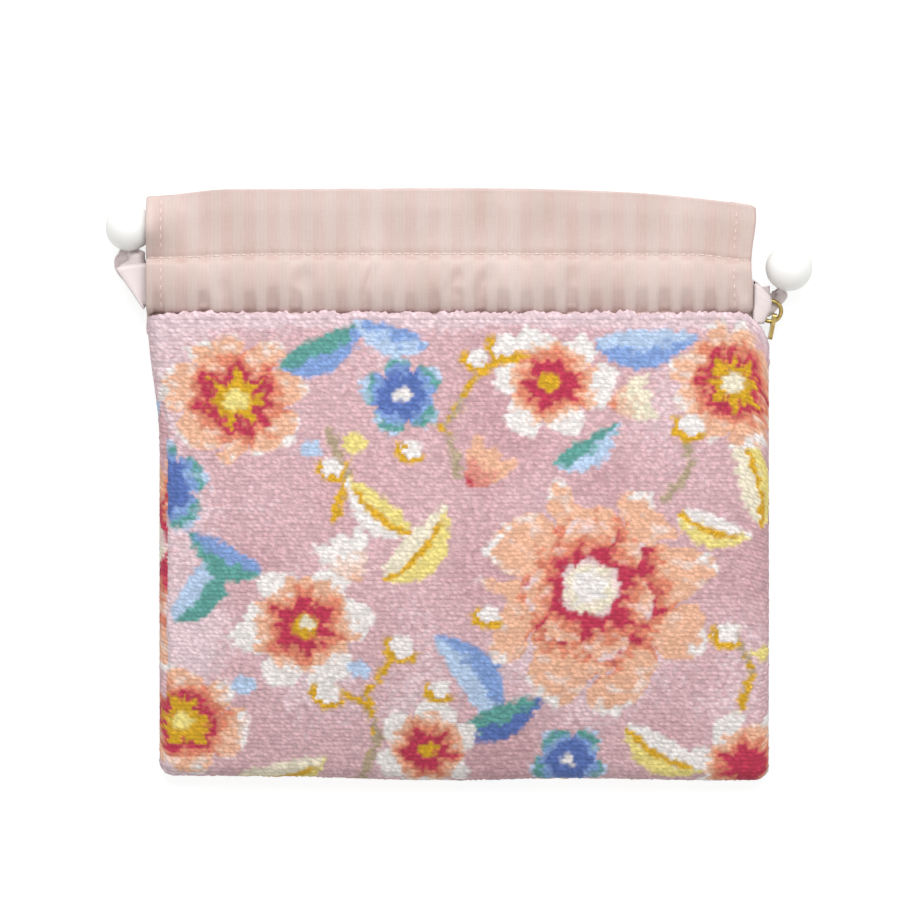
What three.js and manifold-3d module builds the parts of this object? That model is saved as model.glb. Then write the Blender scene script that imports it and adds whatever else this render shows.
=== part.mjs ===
import * as THREE from "three";
import { mergeVertices } from "three/addons/utils/BufferGeometryUtils.js";
import Module from "manifold-3d";

const wasm = await Module();
wasm.setup();

// A lined drawstring pouch lying on its back, mouth towards +Y, in millimetres.
// Two pile-cloth panels make the body. A folded strip stands on each at the mouth, and
// two ribbons run in opposite directions through the channels of both strips.

// Body panels
const bodyWidth = 200;
const bodyHeight = 152.5;
const bodyCentre = 2.2;
const bodyFoot = -96.9;
const clothThickness = 2.5;
const edgeRoll = 4.2;
const puff = 13;
const puffPeak = 0.42;
const mouthPuff = 6.75;
const footCornerRadius = 5;
const shoulderRadius = 11.5;
const mouthFlare = 4;
const footWave = 0.8;
const footLift = 1.6;

// Lining, sewn to the foot of the strips
const liningThickness = 0.6;
const liningEase = 0.75;
const liningDepthUnderMouth = 5;

// Mouth strips, each of cloth folded double and stitched into a header and a channel
const bandLeft = -102.2;
const bandWidth = 199;
const headerHeight = 21.4;
const channelHeight = 19.6;
const plyThickness = 0.6;
const channelClear = 3.4;
const flangeThickness = 0.7;
const flangeHeight = 4.2;
const flangeInset = 6.5;
const bandCrown = 5.2;
const mouthOpening = 9;
const gatherDepth = 0.55;
const gatherPitch = 24;
const floorGap = 0.1;

// Ribbons and the beads at their ends
const ribbonWidth = 14.2;
const ribbonThickness = 0.5;
const ribbonSpacing = 1.6;
const strandWidth = 2.2;
const strandThickness = 0.8;
const slack = 3.5;
const beadRadius = 7.7;
const beadBoreRadius = 2.2;
const beadBoreDepth = 6;

// Charm: a jump ring and a plain plate
const wireRadius = 0.7;
const ringRadius = 3.4;
const plateLength = 8.6;
const plateWidth = 6.8;
const plateThickness = 1.3;
const plateHoleRadius = 2;
const plateHoleInset = 2.5;

const clearance = 0.3;

// Places that follow from the sizes
const bodyMouth = bodyFoot + bodyHeight;
const bandFoot = bodyMouth + clearance;
const stitchLine = bandFoot + channelHeight;
const bandTop = stitchLine + headerHeight;
const bandRight = bandLeft + bandWidth;
const channelCentre = bandFoot + channelHeight / 2;
const channelHalf = channelClear / 2;
const stripHalf = channelHalf + plyThickness;
const backChannelLevel = floorGap + stripHalf;
const frontChannelLevel = backChannelLevel + 2 * stripHalf + 0.4;
const backHeaderLevel = backChannelLevel - channelHalf + plyThickness;
const frontHeaderLevel = backHeaderLevel + 2 * plyThickness + 2.2;
const flangeLayer = clothThickness + clearance + flangeThickness / 2;
const layer = ribbonSpacing / 2;
const fullLine = channelCentre - 0.15;

const smooth = (from, to, value) => {
  const share = THREE.MathUtils.clamp((value - from) / (to - from), 0, 1);
  return share * share * (3 - 2 * share);
};
const quarterRound = (distance, radius) => {
  const inside = 1 - Math.min(Math.max(distance / radius, 0), 1);
  return Math.sqrt(1 - inside * inside);
};

// Joins the vertices of a shape, so that it is one closed surface
function closed(geometry) {
  geometry.deleteAttribute("normal");
  geometry.deleteAttribute("uv");
  const joined = mergeVertices(geometry, 1e-3);
  joined.computeVertexNormals();
  return joined;
}

function solid(geometry) {
  const joined = closed(geometry);
  const vertProperties = joined.getAttribute("position").array;
  const triVerts = Uint32Array.from(joined.index.array);
  return new wasm.Manifold(new wasm.Mesh({ numProp: 3, vertProperties, triVerts }));
}

// Cuts shapes out of a shape
function cut(geometry, ...tools) {
  const rest = tools.reduce((body, tool) => body.subtract(solid(tool)), solid(geometry));
  const mesh = rest.getMesh();
  const result = new THREE.BufferGeometry();
  result.setAttribute("position", new THREE.BufferAttribute(mesh.vertProperties, 3));
  result.setIndex(new THREE.BufferAttribute(mesh.triVerts, 1));
  result.computeVertexNormals();
  return result;
}

// Moves every vertex of a shape to the place that a function gives for it
function drape(geometry, place) {
  const position = geometry.getAttribute("position");
  const vertex = new THREE.Vector3();
  for (let index = 0; index < position.count; index += 1) {
    vertex.fromBufferAttribute(position, index);
    const target = place(vertex.x, vertex.y, vertex.z);
    position.setXYZ(index, target.x, target.y, target.z);
  }
  return closed(geometry);
}

// How far the filled pouch stands over its rolled edge, across and along the body
function puffAt(across, along) {
  const rise = 1 - (1 - Math.min(along / puffPeak, 1)) ** 2;
  const settle = (puff - mouthPuff) * smooth(puffPeak, 1, along);
  return (puff * rise - settle) * Math.max(1 - across * across, 0) ** 0.8;
}

// The drop of a rounded corner at a share of the half width
function cornerDrop(share, halfWidth, radius) {
  const overrun = Math.min(Math.max(share * halfWidth - (halfWidth - radius), 0), radius);
  return radius - Math.sqrt(radius * radius - overrun * overrun);
}

function footLine(across, inset) {
  const corner = cornerDrop(Math.abs(across), bodyWidth / 2 - inset, footCornerRadius - inset);
  const wave = (footWave / 2) * (1 - Math.cos(across * 7 + 0.4)) * (1 - across * across);
  const lift = footLift * smooth(-0.2, -1, across);
  return bodyFoot + inset + corner + wave + lift;
}

function mouthLine(across, top) {
  return top - cornerDrop(Math.max(across, 0), bodyWidth / 2, shoulderRadius);
}

// How far the left side is drawn out towards the mouth
function flareAt(across, along) {
  return mouthFlare * smooth(0.72, 1, along) * Math.max(-across, 0) ** 2;
}

// A point on the body, an inset below its outside, on the front or on the back
function bodyPoint(front, across, share, inset, top) {
  const halfWidth = bodyWidth / 2 - inset;
  const foot = footLine(across, inset);
  const y = foot + (mouthLine(across, top) - foot) * share;
  const along = (y - bodyFoot) / bodyHeight;
  const flare = flareAt(across, along);
  const radius = edgeRoll - inset;
  const roll = radius * quarterRound((1 - Math.abs(across)) * halfWidth, radius)
    * quarterRound(y - foot, radius);
  const z = front ? edgeRoll + clearance + roll + puffAt(across, along) : edgeRoll - roll;
  return new THREE.Vector3(bodyCentre + across * halfWidth - flare, y, z);
}

// A cloth layer of the body: a slab with close rows at its edges, laid over the form
function bodyLayer(front, outerInset, thickness, top, columns, rows) {
  const slab = new THREE.BoxGeometry(2, 1, 1, columns, rows, 1);
  return drape(slab, (x, y, z) => {
    const outside = front ? z > 0 : z < 0;
    const inset = outside ? outerInset : outerInset + thickness;
    const across = Math.sin(x * Math.PI / 2);
    const share = 1 - Math.cos((y + 0.5) * Math.PI / 2);
    return bodyPoint(front, across, share, inset, top);
  });
}

// Half the clear height of a channel at a height above its foot
function channelGap(y) {
  const share = Math.min(Math.abs(y - channelCentre) / (channelHeight / 2 - plyThickness), 1);
  return channelHalf * (1 - share ** 4) ** 0.25;
}

const beadLeft = {
  centre: new THREE.Vector3(bandLeft - 5.3, stitchLine + 8.8, beadRadius + 0.05),
  towardsRibbon: new THREE.Vector3(0.24, -0.939, -0.246).normalize(),
};
const beadRight = {
  centre: new THREE.Vector3(bandRight + 11.7, stitchLine - 4.3, beadRadius + 0.05),
  towardsRibbon: new THREE.Vector3(-0.287, -0.819, -0.497).normalize(),
};

// The header's left edge is draped over the bead that is tucked under it
function beadLift(x, y) {
  const over = beadRadius * 1.42 * Math.exp(-(((x - bandLeft) / 9) ** 2));
  return over * Math.exp(-(((y - beadLeft.centre.y) / 9) ** 2)) * smooth(stitchLine, stitchLine + 4, y);
}

function channelLevel(front, x) {
  const across = (2 * (x - bandLeft)) / bandWidth - 1;
  return front ? frontChannelLevel + bandCrown * (1 - across * across) ** 2 : backChannelLevel;
}

// The height of a strip's middle: sewn in under the panel, then channel, then header
function stripLevel(front, x, y) {
  const halfWidth = bodyWidth / 2 - flangeLayer;
  const sewnX = THREE.MathUtils.clamp(x, bandLeft + flangeInset, bandRight - flangeInset);
  let share = (sewnX - bodyCentre) / halfWidth;
  share = (sewnX - bodyCentre + flareAt(share, 1)) / halfWidth;
  const radius = edgeRoll - flangeLayer;
  const roll = radius * quarterRound((1 - Math.abs(share)) * halfWidth, radius);
  const sewn = front ? edgeRoll + clearance + roll + puffAt(share, 1) : edgeRoll - roll;
  const across = (2 * (x - bandLeft)) / bandWidth - 1;
  const channel = channelLevel(front, x);
  const open = mouthOpening * (1 - across * across) ** 0.8;
  const header = front ? frontHeaderLevel + open * 0.65 : backHeaderLevel;
  const low = THREE.MathUtils.lerp(sewn, channel, smooth(bodyMouth, bodyMouth + 2.2, y));
  return THREE.MathUtils.lerp(low, header, smooth(stitchLine, stitchLine + headerHeight * 0.45, y));
}

// The cut of the strips: the top edge and the stitch line run a little out of true
function stripRise(x, y) {
  const across = (2 * (x - bandLeft)) / bandWidth - 1;
  const top = -2.3 * smooth(-0.72, -1, across) - 5.4 * Math.max(across, 0) ** 3;
  const stitch = -1.2 * smooth(-0.6, -1, across) - 2 * smooth(0.8, 1, across);
  const upper = THREE.MathUtils.clamp((y - stitchLine) / headerHeight, 0, 1);
  const lower = THREE.MathUtils.clamp((y - bandFoot) / channelHeight, 0, 1);
  return y > stitchLine ? THREE.MathUtils.lerp(stitch, top, upper) : stitch * lower ** 4;
}

function gather(x, y) {
  const turn = (2 * Math.PI * x) / gatherPitch;
  const swell = 1 + (Math.sin(turn) + Math.sin(turn / 0.62)) / 2;
  return gatherDepth * swell * smooth(bandFoot, bandFoot + 3, y) * smooth(stitchLine, channelCentre, y);
}

// Half the thickness of a folded strip at a height
function stripHalfAt(y) {
  if (y < bandFoot) return flangeThickness / 2;
  if (y > stitchLine) return y < bandTop ? plyThickness : plyThickness * 0.4;
  return Math.max(channelGap(y) + plyThickness, flangeThickness / 2);
}

// Heights between the two edges of a channel, closer together at the edges
function channelHeights(half, steps) {
  const angles = Array.from({ length: steps + 1 }, (_, step) => (Math.PI * step) / steps);
  return angles.map((angle) => channelCentre - half * Math.cos(angle));
}

// A slab along the middle of a strip, its ends pushed out by an overrun
function stripSlab(front, heights, halfAt, overrun) {
  const rows = heights.length - 1;
  const slab = new THREE.BoxGeometry(1, 1, 1, 22, rows, 1);
  return drape(slab, (share, row, side) => {
    const x = bandLeft + (bandWidth / 2) * (1 + Math.sin(share * Math.PI));
    const y = heights[Math.round((row + 0.5) * rows)];
    const swell = front && side > 0 ? gather(x, y) : 0;
    const risen = y + stripRise(x, y);
    const lift = front ? beadLift(x, risen) : 0;
    const through = 2 * side * halfAt(y);
    const push = Math.abs(share) === 0.5 ? 2 * share * overrun : 0;
    return new THREE.Vector3(x + push, risen, stripLevel(front, x, y) + through + swell + lift);
  });
}

function strip(front) {
  const header = [0.25, 0.5, 0.75].map((share) => stitchLine + headerHeight * share);
  const outside = stripSlab(front, [
    bandFoot - flangeHeight,
    bandFoot - 0.5,
    ...channelHeights(channelHeight / 2, 8),
    ...header,
    bandTop - 0.5,
    bandTop,
  ], stripHalfAt, 0);
  const gapAt = (y) => Math.max(channelGap(y), 0.05);
  const channel = stripSlab(front, channelHeights(channelHeight / 2 - plyThickness, 8), gapAt, 3);
  const notches = [bandLeft, bandRight].map((end) => {
    const notch = new THREE.BoxGeometry(2 * flangeInset, 2 * flangeHeight, puff * 4);
    return notch.translate(end, bandFoot - flangeHeight, 0);
  });
  return cut(outside, channel, ...notches);
}

// A ribbon: a thin strip lofted through its stations. Each station has a place, the
// direction across the ribbon, its width and its thickness there.
function ribbon(stations) {
  const last = stations.length - 1;
  const bar = new THREE.BoxGeometry(1, 1, 1, 1, 1, last);
  return drape(bar, (x, y, z) => {
    const index = Math.round((z + 0.5) * last);
    const station = stations[index];
    const before = stations[Math.max(index - 1, 0)].place;
    const after = stations[Math.min(index + 1, last)].place;
    const along = after.clone().sub(before).normalize();
    const across = station.across.clone().addScaledVector(along, -station.across.dot(along)).normalize();
    const through = station.through ?? along.clone().cross(across);
    const width = station.skewed ? station.across.clone() : across;
    return station.place.clone()
      .addScaledVector(width, x * station.width)
      .addScaledVector(through, y * station.thickness);
  });
}

const flat = new THREE.Vector3(0, 1, 0);
const station = (x, y, z, width, thickness = ribbonThickness, across = flat) => (
  { place: new THREE.Vector3(x, y, z), across, width, thickness }
);

// The run of a ribbon through both channels, from its own side round the far side and back.
// The ribbons change places half way, where both are drawn narrow and lie side by side.
function channelRun(home, far, homeWidth, homeLine, farWidth, farLine, passLine) {
  const outward = Math.sign(home - far);
  const passWidth = channelHeight * 0.36;
  const profile = [
    [0, homeLine, homeWidth, layer],
    [0.03, homeLine, homeWidth, layer],
    [0.1, fullLine, ribbonWidth, layer],
    [0.3, fullLine, ribbonWidth, layer],
    [0.36, passLine, passWidth, layer],
    [0.44, passLine, passWidth, layer],
    [0.5, passLine, passWidth, 0],
    [0.56, passLine, passWidth, -layer],
    [0.64, passLine, passWidth, -layer],
    [0.7, fullLine, ribbonWidth, -layer],
    [0.9, fullLine, ribbonWidth, -layer],
    [0.96, farLine, farWidth, -layer],
    [1, farLine, farWidth, -layer],
  ];
  const steps = 22;
  const at = (share) => {
    const next = Math.max(profile.findIndex((row) => row[0] >= share), 1);
    const [from, to] = [profile[next - 1], profile[next]];
    const mix = (share - from[0]) / (to[0] - from[0]);
    return from.map((value, column) => THREE.MathUtils.lerp(value, to[column], mix));
  };
  const shares = [...new Set([...profile.map((row) => row[0]), ...Array.from({ length: steps - 1 },
    (_, step) => Number(((step + 1) / steps).toFixed(3)))])].sort((a, b) => a - b);
  const front = shares.map((share) => {
    const [, line, width, offset] = at(share);
    const x = home + (far - home) * share;
    return station(x, line, channelLevel(true, x) + offset, width);
  });
  const back = shares.map((share) => {
    const [, line, width, offset] = at(share);
    const x = home + (far - home) * share;
    return station(x, line, channelLevel(false, x) - offset, width);
  });
  const turnTop = frontChannelLevel - layer;
  const turnFoot = backChannelLevel + layer;
  const turnRadius = (turnTop - turnFoot) / 2;
  const turnStart = far - outward * (clearance + slack);
  const turn = [];
  for (let step = 0; step <= 6; step += 1) {
    const angle = (Math.PI * step) / 6;
    const x = turnStart - outward * turnRadius * Math.sin(angle);
    turn.push(station(x, farLine, turnFoot + turnRadius * (1 + Math.cos(angle)), farWidth));
  }
  return [...front, ...turn, ...back.reverse()];
}

// Where a ribbon's end enters its bead, over or under the other end
function intoBead(bead, level, facing) {
  const across = new THREE.Vector3(facing, 0, 0);
  const over = bead.towardsRibbon.clone().cross(new THREE.Vector3(1, 0, 0)).normalize();
  const shift = over.multiplyScalar((level * (strandThickness + clearance)) / 2);
  const mouth = bead.centre.clone().addScaledVector(bead.towardsRibbon, beadRadius + 0.3).add(shift);
  const end = bead.centre.clone().addScaledVector(bead.towardsRibbon, beadRadius - 4).add(shift);
  return [end, mouth].map((place) => ({ place, across, width: strandWidth, thickness: strandThickness }));
}

// Left ribbon: its front run leaves the channel, folds over on a slant and rises to the bead
function leftRibbon() {
  const top = fullLine + ribbonWidth / 2;
  const foot = fullLine - ribbonWidth / 2;
  const foldTop = new THREE.Vector3(bandLeft - 9.2, top, 0);
  const foldFoot = new THREE.Vector3(bandLeft - 0.6, foot, 0);
  const slant = foldTop.clone().sub(foldFoot);
  const outward = new THREE.Vector3(slant.y, -slant.x, 0).normalize().negate();
  const middle = foldTop.clone().add(foldFoot).multiplyScalar(0.5);
  const foldLevel = frontChannelLevel + layer + 0.35;
  const foldRadius = 0.55;
  const fold = [0, 60, 120, 180].map((degrees) => {
    const turn = THREE.MathUtils.degToRad(degrees);
    const through = outward.clone().multiplyScalar(Math.sin(turn)).setZ(Math.cos(turn));
    const place = middle.clone().addScaledVector(through, foldRadius);
    place.setZ(foldLevel + foldRadius * through.z);
    return {
      place, through, skewed: true, across: slant.clone().normalize(),
      width: slant.length(), thickness: ribbonThickness,
    };
  });
  const rolled = new THREE.Vector3(-0.95, 0.3, 0).normalize();
  const frontEnd = [
    ...intoBead(beadLeft, 1, -1),
    station(bandLeft - 2.9, beadLeft.centre.y - 10.4, frontChannelLevel - 0.9, 5.2, strandThickness, rolled),
    station(bandLeft - 3.1, top + 0.6, frontChannelLevel - 0.1, 6.4, ribbonThickness, rolled),
    ...fold.reverse(),
  ];
  const backEnd = [
    station(bandLeft - 2.3, top - 2.8, backChannelLevel - layer, 6.8, ribbonThickness,
      new THREE.Vector3(0.57, 0.82, 0)),
    station(bandLeft - 2.6, top + 1.3, backChannelLevel + 0.2, 4.2, strandThickness,
      new THREE.Vector3(0.97, 0.2, 0)),
    ...intoBead(beadLeft, -1, 1).reverse(),
  ];
  const run = channelRun(bandLeft, bandRight, ribbonWidth, fullLine, 4.2, bandFoot + 8.6,
    channelCentre + 3.6);
  return ribbon([...frontEnd, ...run, ...backEnd]);
}

// Right ribbon: drawn together beyond the channel, through the jump ring and up to the bead
const ringCentre = new THREE.Vector3(bandRight + 6, bodyMouth + 1.5, 0.45 + plateWidth / 2);

function rightRibbon() {
  const { x, y, z } = ringCentre;
  const over = wireRadius + clearance + strandThickness / 2;
  const frontEnd = [
    ...intoBead(beadRight, 1, -1),
    station(x + 2.7, y + 4.7, z - over - 0.05, strandWidth, strandThickness, new THREE.Vector3(-1, 0.3, 0)),
    station(x + 1.9, y + 2.9, z - over - 0.2, strandWidth, strandThickness, new THREE.Vector3(-0.8, 0.5, 0)),
    station(x + 1.3, y + 2, z - over + 0.1, 2, strandThickness, new THREE.Vector3(-0.8, 0.6, 0)),
    station(x + 0.2, y + 0.6, z, 2, strandThickness, new THREE.Vector3(-0.3, 0.95, 0)),
    station(x - 1.1, y + 1.8, z + over + 0.75, 2.8, strandThickness, new THREE.Vector3(0.5, 0.85, 0)),
    station(x - 3.4, y + 2.6, frontChannelLevel, 5.4, ribbonThickness, new THREE.Vector3(0.3, 0.95, 0)),
  ];
  const backEnd = [
    station(x - 1.6, y + 4.6, backChannelLevel - layer - 0.1, 6, ribbonThickness, flat),
    station(x + 2.1, y + 4.1, 1.1, strandWidth, strandThickness, new THREE.Vector3(-0.7, 0.7, 0)),
    station(x + 2.9, y + 5.6, 1.5, strandWidth, strandThickness, new THREE.Vector3(-1, 0.3, 0)),
    ...intoBead(beadRight, -1, -1).reverse(),
  ];
  const run = channelRun(bandRight, bandLeft, 8.4, bandFoot + 6.2, 5.6, stitchLine - 6.7,
    channelCentre - 4.1);
  return ribbon([...frontEnd, ...run, ...backEnd]);
}

// A bead drilled from one side for the ribbon's two ends
function bead() {
  const rim = Math.asin(beadBoreRadius / beadRadius);
  const profile = [
    new THREE.Vector2(0, -beadRadius + beadBoreDepth),
    new THREE.Vector2(beadBoreRadius, -beadRadius + beadBoreDepth),
  ];
  const steps = 10;
  for (let step = 0; step <= steps; step += 1) {
    const angle = rim + ((Math.PI - rim) * step) / steps;
    const radius = step === steps ? 0 : beadRadius * Math.sin(angle);
    profile.push(new THREE.Vector2(radius, -beadRadius * Math.cos(angle)));
  }
  return closed(new THREE.LatheGeometry(profile, 20));
}

function plate() {
  const half = plateWidth / 2;
  const corner = 1.2;
  const outline = new THREE.Shape();
  const [left, right] = [-plateHoleInset, plateLength - plateHoleInset];
  outline.moveTo(left + corner, -half);
  outline.lineTo(right - corner, -half);
  outline.absarc(right - corner, -half + corner, corner, -Math.PI / 2, 0);
  outline.absarc(right - corner, half - corner, corner, 0, Math.PI / 2);
  outline.absarc(left + corner, half - corner, corner, Math.PI / 2, Math.PI);
  outline.absarc(left + corner, -half + corner, corner, Math.PI, Math.PI * 1.5);
  const hole = new THREE.Path();
  hole.absarc(0, 0, plateHoleRadius, 0, Math.PI * 2, true);
  outline.holes.push(hole);
  const form = { depth: plateThickness, bevelEnabled: false, curveSegments: 5 };
  return closed(new THREE.ExtrudeGeometry(outline, form).translate(0, 0, -plateThickness / 2));
}

const pileCloth = { color: "#d6aeb2", roughness: 0.95, metalness: 0 };
const satin = { color: "#dfcac4", roughness: 0.45, metalness: 0 };
const ribbonSatin = { color: "#ead9d8", roughness: 0.4, metalness: 0 };
const nacre = { color: "#f4f3ef", roughness: 0.22, metalness: 0 };
const gilt = { color: "#b59a68", roughness: 0.3, metalness: 1 };

const pouch = new THREE.Group();
function add(name, geometry, finish) {
  const mesh = new THREE.Mesh(geometry, new THREE.MeshStandardMaterial(finish));
  mesh.name = name;
  pouch.add(mesh);
  return mesh;
}

const liningTop = bodyMouth - liningDepthUnderMouth;
const liningInset = clothThickness + liningEase;
add("front_panel", bodyLayer(true, 0, clothThickness, bodyMouth, 24, 13), pileCloth);
add("back_panel", bodyLayer(false, 0, clothThickness, bodyMouth, 18, 10), pileCloth);
add("front_lining", bodyLayer(true, liningInset, liningThickness, liningTop, 24, 13), satin);
add("back_lining", bodyLayer(false, liningInset, liningThickness, liningTop, 18, 10), satin);
add("front_band", strip(true), satin);
add("back_band", strip(false), satin);
add("left_drawstring", leftRibbon(), ribbonSatin);
add("right_drawstring", rightRibbon(), ribbonSatin);

for (const [name, place] of [["left_pearl", beadLeft], ["right_pearl", beadRight]]) {
  const pearl = add(name, bead(), nacre);
  pearl.position.copy(place.centre);
  pearl.quaternion.setFromUnitVectors(new THREE.Vector3(0, -1, 0), place.towardsRibbon);
}

const charmRing = add("charm_ring", closed(new THREE.TorusGeometry(ringRadius, wireRadius, 8, 20)), gilt);
charmRing.position.copy(ringCentre);

// The plate hangs on the ring by its hole, on edge, its far end against the shoulder
const hangAngle = THREE.MathUtils.degToRad(-76);
const plateAngle = THREE.MathUtils.degToRad(-101);
const charmPlate = add("charm_plate", plate(), gilt);
charmPlate.position.copy(ringCentre);
charmPlate.position.x += ringRadius * Math.cos(hangAngle);
charmPlate.position.y += ringRadius * Math.sin(hangAngle);
charmPlate.rotation.set(Math.PI / 2, 0, plateAngle, "ZYX");

export default pouch;
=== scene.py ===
# A lined drawstring pouch of printed chenille with a striped satin mouth, lying on its back.
import math
import random

import bmesh
import bpy
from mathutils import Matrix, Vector, noise


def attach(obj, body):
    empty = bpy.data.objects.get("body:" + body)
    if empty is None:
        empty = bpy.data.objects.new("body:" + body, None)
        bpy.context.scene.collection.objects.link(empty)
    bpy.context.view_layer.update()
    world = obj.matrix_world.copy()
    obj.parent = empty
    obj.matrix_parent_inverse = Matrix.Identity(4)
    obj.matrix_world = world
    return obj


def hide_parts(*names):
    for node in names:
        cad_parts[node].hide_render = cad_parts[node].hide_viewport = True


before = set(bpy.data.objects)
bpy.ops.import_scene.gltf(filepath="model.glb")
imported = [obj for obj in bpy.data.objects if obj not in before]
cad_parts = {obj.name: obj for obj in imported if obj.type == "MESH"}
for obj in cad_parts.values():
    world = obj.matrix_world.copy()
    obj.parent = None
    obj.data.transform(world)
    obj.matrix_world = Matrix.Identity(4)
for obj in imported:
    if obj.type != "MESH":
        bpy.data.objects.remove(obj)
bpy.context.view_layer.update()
dice = random.Random(11)

# Sizes in millimetres, the same as the solids have
MM = 0.001
BODY_WIDTH, BODY_HEIGHT, BODY_CENTRE, BODY_FOOT = 200, 152.5, 2.2, -96.9
EDGE_ROLL, SEAM_GAP = 4.2, 0.3
PUFF, PUFF_PEAK, MOUTH_PUFF = 13, 0.42, 6.75
FOOT_CORNER, SHOULDER, MOUTH_FLARE = 5, 11.5, 4
FOOT_WAVE, FOOT_LIFT = 0.8, 1.6
CLOTH = 2.5
BAND_LEFT, BAND_WIDTH = -102.2, 199
CHANNEL_HEIGHT, HEADER_HEIGHT = 19.6, 21.4
PLY, CHANNEL_HALF, BAND_CROWN, MOUTH_OPENING = 0.6, 1.7, 5.2, 9
BODY_MOUTH = BODY_FOOT + BODY_HEIGHT
BAND_FOOT = BODY_MOUTH + SEAM_GAP
STITCH_LINE = BAND_FOOT + CHANNEL_HEIGHT
BAND_TOP = STITCH_LINE + HEADER_HEIGHT
BAND_RIGHT = BAND_LEFT + BAND_WIDTH
CHANNEL_MIDDLE = BAND_FOOT + CHANNEL_HEIGHT / 2
STRIP_HALF = CHANNEL_HALF + PLY
BACK_CHANNEL = 0.1 + STRIP_HALF
FRONT_CHANNEL = BACK_CHANNEL + 2 * STRIP_HALF + 0.4
BACK_HEADER = BACK_CHANNEL - CHANNEL_HALF + PLY
FRONT_HEADER = BACK_HEADER + 2 * PLY + 2.2
SEWN_INSET = CLOTH + SEAM_GAP + 0.35
STITCH_STEP = 3
COURSE = 1.4
LOOP = 1.75
STRIPE, STRIPE_START, FINE_STRIPE = 7.53, -1.93, 1.26
SATIN_CLOTH, LINING_CLOTH, RIBBON_CLOTH = 0.28, 0.25, 0.3
STRIP_TURNING = 4
RIBBON_WIDTH, RIBBON_LENGTH, RIBBON_LAYER = 14.2, 460, 0.8
RIBBON_LINE = CHANNEL_MIDDLE - 0.15
BEAD_RADIUS, BEAD_BORE, BORE_DEPTH = 7.7, 1.9, 6
LEFT_BEAD = Vector((BAND_LEFT - 5.3, STITCH_LINE + 8.8, BEAD_RADIUS + 0.05))
RIGHT_BEAD = Vector((BAND_RIGHT + 11.7, STITCH_LINE - 4.3, BEAD_RADIUS + 0.05))
LEFT_PULL = Vector((0.24, -0.939, -0.246)).normalized()
RIGHT_PULL = Vector((-0.287, -0.819, -0.497)).normalized()
RING_CENTRE = Vector((BAND_RIGHT + 6, BODY_MOUTH + 1.5, 3.85))
RING_RADIUS, WIRE_RADIUS = 3.4, 0.7


def camera_over_the_pouch():
    """It looks straight down from 1.8 m over the cloth, and its picture is 0.2946 m wide there."""
    distance, picture_width, cloth_level = 1.8, 0.2946, 0.008
    data = bpy.data.cameras.new("photo_camera")
    data.sensor_width = 36
    data.lens = 36 * distance / picture_width
    camera = bpy.data.objects.new("photo_camera", data)
    camera.location = (-0.00245, 0.0115, distance + cloth_level)
    bpy.context.scene.collection.objects.link(camera)
    bpy.context.scene.camera = camera


camera_over_the_pouch()


def colour(code):
    """An sRGB hex colour as linear values."""
    parts = [int(code[i:i + 2], 16) / 255 for i in (1, 3, 5)]
    linear = [c / 12.92 if c <= 0.04045 else ((c + 0.055) / 1.055) ** 2.4 for c in parts]
    return (*linear, 1.0)


def add_node(tree, kind, inputs=None, stops=(), **settings):
    """Adds a shader node with its settings, its values, its links and its ramp's hex colours.

    An input that is given a node takes that node's first output.
    """
    node = tree.nodes.new("ShaderNode" + kind)
    for name, value in settings.items():
        setattr(node, name, value)
    for name, value in (inputs or {}).items():
        if isinstance(value, bpy.types.Node):
            value = value.outputs[0]
        if isinstance(value, bpy.types.NodeSocket):
            tree.links.new(value, node.inputs[name])
        else:
            node.inputs[name].default_value = value
    if stops:
        elements = node.color_ramp.elements
        while len(elements) < len(stops):
            elements.new(0.5)
        for element, (place, code) in zip(elements, stops):
            element.position = place
            element.color = colour(code)
    return node


def new_material(name):
    material = bpy.data.materials.new(name)
    material.use_nodes = True
    material.node_tree.nodes.clear()
    return material, material.node_tree


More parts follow.
